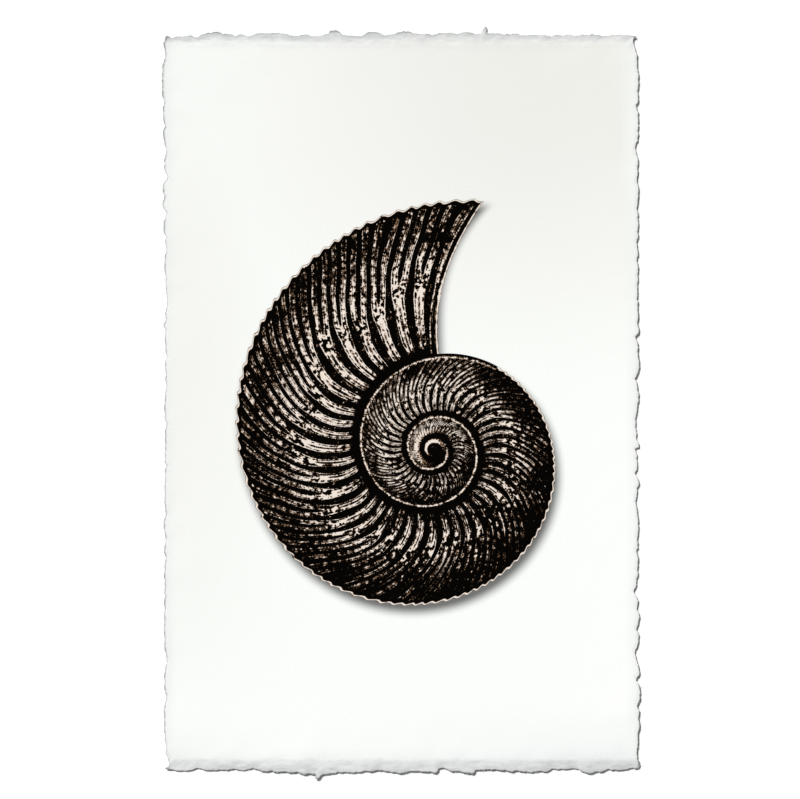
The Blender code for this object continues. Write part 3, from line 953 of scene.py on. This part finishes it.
@dataclass
class PrintedSheet:
    """The sheet: a strip carried round its torn rim, with a field above and one below.

    The strip runs from the lower field's border out under the deckle, up over the rim
    and in to the upper field's border. Sizes are in metres.
    """

    edge: TornEdge = TornEdge()
    thickness: float = 0.0008
    deckles: tuple[Deckle, ...] = (  # side by side
        Deckle(0.0063, 0.00035, LONG_GREY, 1.0, fray=0.0006, curl=0.00060, left_end=0.6),
        Deckle(0.0016, 0.00065, FAINT_GREY, 0.0, fray=0.0004, curl=0.00030),
        Deckle(0.0057, 0.00035, FADING_GREY, 1.0, fray=0.0007, curl=0.00025, left_end=1.25),
        Deckle(0.0016, 0.00065, BRIEF_GREY, 0.0, fray=0.0010, curl=0.00035),
    )
    margin: float = 0.0120  # from the untorn edge to the fields
    cells: tuple[int, int] = (75, 120)  # of each field, about 3 mm wide
    finer: int = 6  # stations of the strip to a field's cell
    under_rows: tuple[float, ...] = (0.0095, 0.0060, 0.0035, 0.0018, 0.0007, 0.00015)
    upper_rows: tuple[float, ...] = (
        0.0001, 0.0003, 0.0006, 0.0010, 0.0014, 0.0019, 0.0025, 0.0032, 0.0040,
        0.0048, 0.0055, 0.0061, 0.0067, 0.0073, 0.0080, 0.0088, 0.0098,
    )
    rim_shade_doubling: float = 0.0025  # a rim that stands out by this has its painted shade twice as far in
    rim_shade_limits: tuple[float, float] = (0.6, 2.5)  # the least and the most of that change
    settling: int = 60  # rounds for the rows to settle in round the corners
    corner_reach: tuple[float, float] = (0.014, 0.034)  # from full settling to none
    curl_reach: float = 0.045  # how far in the curled sides start to rise
    left_reach: float = 0.024  # how far in the deckles' left ends reach
    cockle: float = 0.00008  # the cockles' mean height
    # Noise in the cockles, in the curl, and in the deckles' depth and greyness
    cockles: Layers = ((1.0, 0.075, 5), (0.4, 0.030, 6))
    curl_change: Layers = ((0.45, 0.028, 7), (0.20, 0.009, 8))
    depth_change: Layers = ((0.05, 0.006, 9), (0.06, 0.0018, 10))
    grey_change: Layers = ((0.14, 0.090, 11),)
    lumps: Layers = ((0.00008, 0.0028, 20), (0.00006, 0.0012, 21))  # of pulp, on thin stock
    lump_flow: float = 0.5  # draws the lumps out across the sheet
    least_depth: float = 0.0008  # of a deckle, where the tear bites into it
    print_half: tuple[float, float] = (0.093, 0.121)  # of the box that the print lies in
    crisp: float = math.radians(50)  # an edge that is bent by more stays sharp

    def stations(self) -> Array:
        """How far round each station of the strip is."""
        return self.edge.stations((self.cells[0] * self.finer, self.cells[1] * self.finer))

    def outline(self) -> Array:
        """The torn rim's points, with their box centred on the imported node's."""
        outline = self.edge.torn(self.stations())
        low, high = (np.array(corner[:2]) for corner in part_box("paper_sheet"))
        return outline + (low + high - outline.min(axis=0) - outline.max(axis=0)) / 2

    def border(self) -> Array:
        """The point of a field's border opposite each station."""
        turns = np.array([(-1, -1), (1, -1), (1, 1), (-1, 1), (-1, -1)])
        corners = self.edge.half(self.margin) * turns
        counts = [n * self.finer for n in self.cells * 2]
        places = np.concatenate([side + np.arange(n) / n for side, n in enumerate(counts)])
        return np.column_stack([np.interp(places, range(5), corners[:, axis]) for axis in (0, 1)])

    def away(self, x: Array, y: Array) -> tuple[Array, ...]:
        """Distances in from the four untorn edges, side by side."""
        half_x, half_y = self.edge.half()
        return half_y + y, half_x - x, half_y - y, half_x + x

    def bed(self, x: Array, y: Array) -> Array:
        """Height of the underside, before the lowest point is set on the floor.

        Formula: each side rises by its curl times the square of how near its edge is,
        more or less along it, and slow cockles are added.

        Args:
            x: places across the sheet.
            y: places up the sheet.

        Returns:
            The heights.
        """
        height = self.cockle * (1 + clouds(x, y, self.cockles))
        uneven = 1 + clouds(x, y, self.curl_change)
        for deckle, away in zip(self.deckles, self.away(x, y)):
            near = np.clip(1 - away / self.curl_reach, 0, 1.1)
            height += deckle.curl * uneven * near**2
        return height

    def rows_in(self, insets: tuple[float, ...]) -> Array:
        """Places of the strip's rows between the rim and the fields' border.

        Formula: the rows start as straight blends of the rim and the border. Round the
        corners they settle as in a smooth grid of Winslow's kind: each point moves to
        the mean of its neighbours, weighed by how far apart the lines run, so that the
        rows bend out of a spur and don't cross.

        Args:
            insets: how far in each row is, in rising order.

        Returns:
            The points by row and station.
        """
        outline = self.outline()
        depths = np.array([0.0, *insets, self.margin])[:, None, None]
        straight = outline + depths / self.margin * (self.border() - outline)
        before, after = depths[1:-1] - depths[:-2], depths[2:] - depths[1:-1]
        whole = before + after
        step = self.edge.lengths().sum() / len(outline)
        grid = straight.copy()
        for _ in range(self.settling):
            outer, here, inner = grid[:-2], grid[1:-1], grid[2:]
            ahead, behind = np.roll(grid, -1, axis=1), np.roll(grid, 1, axis=1)
            onward = (ahead - behind) / (2 * step)
            inward = inner * before / after - outer * after / before
            inward = (inward + here * (after / before - before / after)) / whole
            twist = (onward[2:] - onward[:-2]) / whole
            onward = onward[1:-1]
            sides = (inward**2).sum(axis=-1, keepdims=True) / step**2
            ends = (onward**2).sum(axis=-1, keepdims=True)
            skew = (onward * inward).sum(axis=-1, keepdims=True)
            pull = sides * (ahead + behind)[1:-1] - 2 * skew * twist
            pull += 2 * ends * (outer / before + inner / after) / whole
            grid[1:-1] = pull / (2 * sides + 2 * ends / (before * after))
        untorn, _ = self.edge.untorn(self.stations())
        off = np.linalg.norm(self.edge.half() - np.abs(untorn), axis=1)
        share = 1 - smooth_step(*self.corner_reach, off)
        return (straight + share[:, None] * (grid - straight))[1:-1]

    def strip(self) -> tuple[Array, Array, Array]:
        """The strip's points, how grey its thin stock is there, partly painted shade, and how much
        painted shade its torn rim has.

        Formula: the rows run from the rim to the fields' border. Along them the stock
        grows evenly from what is left at the rim to its full thickness at the
        deckle's inner line, with lumps of pulp on it. The greyness of thin stock, partly
        painted shade, runs straight between the shares given for it. The torn rim's
        painted shade reaches further in where it stands out.

        Returns:
            The points by row and station, their grey with its painted shade, and their rim's
            painted shade.
        """
        insets = np.array([*self.under_rows, 0.0, *self.upper_rows])[:, None]
        rows = (len(self.under_rows), 1, len(self.upper_rows))
        level = np.repeat((0.0, 0.5, 1.0), rows)[:, None]
        outline = self.outline()
        under, upper = self.rows_in(self.under_rows[::-1])[::-1], self.rows_in(self.upper_rows)
        x, y = np.moveaxis(np.concatenate((under, outline[None], upper)), -1, 0)
        untorn, out = self.edge.untorn(self.stations())
        moved = outline - untorn
        wavy = 1 + clouds(x, y, self.depth_change)
        patchy = 1 + clouds(x, y, self.grey_change)
        left = np.clip(1 - self.away(x, y)[Side.LEFT.value] / self.left_reach, 0, 1)
        thin, stock = np.zeros_like(x), np.full_like(x, self.thickness)
        for way, deckle, away in zip(SIDE_WAYS, self.deckles, self.away(x, y)):
            ragged = moved @ way
            depth = np.maximum(deckle.depth + deckle.straight * ragged, self.least_depth)
            inward = np.maximum((away + ragged) / depth * wavy, 0.0)
            # Grey of the thin deckle, partly painted shade of its thinning, curled stock
            grey = np.interp(inward, *deckle.grey)
            grey *= patchy * (1 + (deckle.left_end - 1) * left)
            thin = np.maximum(thin, grey)
            stays = self.thickness - (self.thickness - deckle.rim) * np.clip(1 - inward, 0, 1)
            stock = np.minimum(stock, stays)
        lost = (self.thickness - stock) / self.thickness
        stock += np.minimum(4 * lost, 1) * clouds(self.lump_flow * x, y, self.lumps)
        # How far in the torn rim's painted shade reaches, further where the rim stands out
        shaded_rim = belonging(out) @ [deckle.fray for deckle in self.deckles]
        reach = (moved * out).sum(axis=1)
        shaded_rim *= np.clip(1 + reach / self.rim_shade_doubling, *self.rim_shade_limits)
        fray = 1 - smooth_step(0.0, 1.0, insets / shaded_rim)
        return np.stack((x, y, self.bed(x, y) + level * stock), axis=-1), thin, fray

    def field(self, level: float) -> Array:
        """A field's points by row and column, at a share of the thickness."""
        halves = self.edge.half(self.margin)
        columns, rows = (np.linspace(-h, h, n + 1) for h, n in zip(halves, self.cells))
        x, y = np.meshgrid(columns, rows)
        return np.stack((x, y, self.bed(x, y) + level * self.thickness), axis=-1)

    def joint(self, row: Array, border: Array) -> Array:
        """Triangles between a row of the strip and a field's border, facing up.

        Formula: the stations beside each cell fan to the nearer end of its edge, and
        one triangle fills what is left between the two fans.

        Args:
            row: the row's vertices, by station.
            border: the border's vertices, from the lower left corner anticlockwise.

        Returns:
            The triangles.
        """
        here, ahead = row.reshape(-1, self.finer), np.roll(row, -1).reshape(-1, self.finer)
        after = np.roll(border, -1)
        first = np.arange(self.finer) < self.finer // 2
        apex = np.where(first, border[:, None], after[:, None])
        fans = np.stack((here, ahead, apex), axis=-1).reshape(-1, 3)
        return np.vstack((fans, np.column_stack((here[:, self.finer // 2], after, border))))

    def build(self, paper: RagPaper, figure: AmmonitePrint) -> bpy.types.Object:
        """Builds the sheet and dresses it.

        Args:
            paper: its stock.
            figure: what is printed on its face.

        Returns:
            The sheet.
        """
        strip, thin, fray = self.strip()
        fields = [self.field(level) for level in (0.0, 1.0)]
        points = np.vstack([part.reshape(-1, 3) for part in (strip, *fields)])
        points[:, 2] -= points[:, 2].min()
        numbers = np.arange(len(points))
        rows = numbers[: strip.shape[0] * strip.shape[1]].reshape(strip.shape[:2])
        ahead = np.roll(rows, -1, axis=1)
        bands = quads(rows[:-1], ahead[:-1], ahead[1:], rows[1:])
        under, upper = numbers[rows.size :].reshape(2, *fields[0].shape[:2])
        faces = bands.tolist()
        for grid, row, step in ((under, rows[0], -1), (upper, rows[-1], 1)):
            border = np.concatenate((grid[0, :-1], grid[:-1, -1], grid[-1, :0:-1], grid[:0:-1, 0]))
            cells = quads(grid[:-1, :-1], grid[:-1, 1:], grid[1:, 1:], grid[1:, :-1])
            faces += self.joint(row, border)[:, ::step].tolist()
            faces += cells[:, ::step].tolist()
        finishes = (
            paper.material("cotton_rag_paper"),
            paper.material("pigment_print_on_rag_paper", figure),
        )
        sheet = new_piece("printed_sheet", points, faces, finishes)
        mesh = sheet.data
        near, far = points[upper[:-1, :-1], :2], points[upper[1:, 1:], :2]
        within = np.all(np.abs((near + far) / 2) < self.print_half, axis=-1).ravel()
        slots = np.zeros(len(faces), dtype=np.int32)
        slots[len(faces) - within.size :] = within
        mesh.polygons.foreach_set("material_index", slots)
        for name, values in ((THIN_AND_SHADE, thin), (RIM_SHADE, fray)):
            everywhere = np.zeros(len(points), dtype=np.float32)
            everywhere[: rows.size] = values.ravel()
            mesh.attributes.new(name, "FLOAT", "POINT").data.foreach_set("value", everywhere)
        mesh.set_sharp_from_angle(angle=self.crisp)
        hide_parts("paper_sheet")
        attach(sheet, "root")
        return sheet


@dataclass
class RimFibres:
    """Cotton fibres that stand out of the torn rim, the finest too thin to see."""

    count: int = 600
    steps: int = 6  # rings along each
    sides: int = 4
    length: tuple[float, float] = (0.0003, 0.0011)
    radius: tuple[float, float] = (0.00003, 0.00005)
    root: float = 0.0005  # how far inside the rim each starts
    shortest: float = 0.3  # the least share of its length that a fibre has
    swing: float = 0.9  # aside, evenly along a fibre, as a share of its length
    bend: float = 1.2  # aside, with the square of the share along it
    rise: tuple[float, float] = (-0.00012, 0.00030)
    taper: float = 0.7
    seed: int = 12

    def build(self, sheet: PrintedSheet, paper: RagPaper) -> bpy.types.Object:
        """Builds every fibre as a tube in one mesh.

        Formula: a fibre leaves its root outward, swings aside and dips with the square
        of the share along it. Its radius shrinks by that square, and the ring at each
        step lies square to the fibre's level course.

        Args:
            sheet: the sheet whose rim they stand in.
            paper: its stock.

        Returns:
            The fibres.
        """
        rng = np.random.RandomState(self.seed)
        strip, _, _ = sheet.strip()
        rim, inner = strip[len(sheet.under_rows)], strip[-1]
        chosen = rng.randint(0, len(rim), self.count)
        out = (rim - inner)[chosen, :2]
        out /= np.linalg.norm(out, axis=1)[:, None]
        side = np.column_stack((-out[:, 1], out[:, 0]))
        along = np.linspace(0, 1, self.steps)
        length = rng.uniform(*self.length, self.count)
        length *= rng.uniform(self.shortest, 1, self.count)
        length += self.root
        swing = rng.uniform(-self.swing, self.swing, self.count)
        bend = rng.uniform(-self.bend, self.bend, self.count)
        aside = swing[:, None] * along + bend[:, None] * along**2
        course = out[:, None] * along[:, None] + side[:, None] * aside[..., None]
        level = rim[chosen, None, :2] - self.root * out[:, None] + length[:, None, None] * course
        heading = np.gradient(level, axis=1)
        heading /= np.linalg.norm(heading, axis=-1)[..., None]
        square = np.stack((-heading[..., 1], heading[..., 0]), axis=-1)
        rise = rng.uniform(*self.rise, self.count)[:, None] * along**2
        height = rim[chosen, 2][:, None] + rise
        radius = rng.uniform(*self.radius, self.count)[:, None] * (1 - self.taper * along**2)
        turn = np.arange(self.sides) / self.sides * TAU
        across = (radius[..., None] * np.cos(turn))[..., None]
        ring = level[:, :, None] + across * square[:, :, None]
        heights = height[..., None] + radius[..., None] * np.sin(turn)
        points = np.concatenate((ring, heights[..., None]), axis=-1)
        numbers = np.arange(self.count * self.steps * self.sides)
        numbers = numbers.reshape(self.count, self.steps, self.sides)
        ahead = np.roll(numbers, -1, axis=-1)
        walls = quads(numbers[:, :-1], ahead[:, :-1], ahead[:, 1:], numbers[:, 1:])
        tips = np.vstack((numbers[:, 0, ::-1], numbers[:, -1]))
        faces = np.vstack((walls, tips)).tolist()
        finish = paper.material("cotton_fibre")
        fibres = new_piece("rim_fibres", points.reshape(-1, 3), faces, (finish,))
        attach(fibres, "root")
        return fibres


@dataclass(frozen=True)
class Studio:
    """A white table under a big soft light from the upper left, seen from right above."""

    eye: tuple[float, float, float] = (-0.00054, 0.00173, 0.9875)
    lens: float = 85.0
    sensor: float = 36.0
    nearest: float = 0.01  # what the camera sees starts this far off
    table: str = "FBFBFB"
    table_half: float = 4.0
    table_gap: float = 0.00005  # keeps the tabletop clear of the underside
    sun_power: float = 4.67
    sun_width: float = math.radians(11)
    sun_height: float = math.radians(38)
    sun_way: float = math.radians(128)  # where it stands, anticlockwise from +X
    fill: float = 0.16

    def build(self) -> None:
        """Sets the table, the light, the fill and the camera."""
        scene = bpy.context.scene
        half = self.table_half
        corners = np.array([(-half, -half), (half, -half), (half, half), (-half, half)])
        points = np.column_stack((corners, np.full(4, -self.table_gap)))
        table = new_piece("white_table", points, [(0, 1, 2, 3)], (self.tabletop(),))
        lamp = bpy.data.lights.new("soft_key_light", "SUN")
        lamp.energy, lamp.angle = self.sun_power, self.sun_width
        sun = bpy.data.objects.new("soft_key_light", lamp)
        sun.rotation_euler = (0.0, TAU / 4 - self.sun_height, self.sun_way)
        scene.collection.objects.link(sun)
        lens = bpy.data.cameras.new("camera")
        lens.lens, lens.sensor_width, lens.clip_start = self.lens, self.sensor, self.nearest
        camera = bpy.data.objects.new("camera", lens)
        camera.location = self.eye
        scene.collection.objects.link(camera)
        scene.camera = camera
        scene.world = self.surroundings()
        scene.view_settings.view_transform = "Standard"

    def tabletop(self) -> bpy.types.Material:
        """Matt white laminate: even, and bright enough to burn out to white."""
        made = bpy.data.materials.new("matt_white_laminate")
        recipe = Recipe.afresh(made)
        surface = {"Base Color": linear(self.table), "Roughness": 1.0, "Specular IOR Level": 0.0}
        recipe.finish(recipe.add("BsdfPrincipled", surface))
        return made

    def surroundings(self) -> bpy.types.World:
        """A white room: a dim fill for the light, full white where it is looked at."""
        world = bpy.data.worlds.new("white_room")
        recipe = Recipe.afresh(world)
        known = {"seen": recipe.add("LightPath", out="Is Camera Ray")}
        recipe.work_out((("strength", "LINEAR", "seen", 0.0, 1.0, self.fill, 1.0),), known)
        sky = {"Color": (1.0, 1.0, 1.0, 1.0), "Strength": known["strength"]}
        recipe.finish(recipe.add("Background", sky), "World")
        return world


def main() -> None:
    """Builds the scene's classes in order and reports each piece."""
    logging.basicConfig(level=logging.INFO, format="%(message)s")
    paper = RagPaper()
    sheet = PrintedSheet()
    studio = Studio()
    studio.build()
    log.info("studio: table, soft key light, fill and camera")
    for piece in (sheet.build(paper, AmmonitePrint()), RimFibres().build(sheet, paper)):
        low, high = (np.array(piece.bound_box)[[0, 6]] * 1000).round(1).tolist()
        log.info("%s: %d faces, box %s to %s mm", piece.name, len(piece.data.polygons), low, high)


if __name__ == "__main__":
    main()
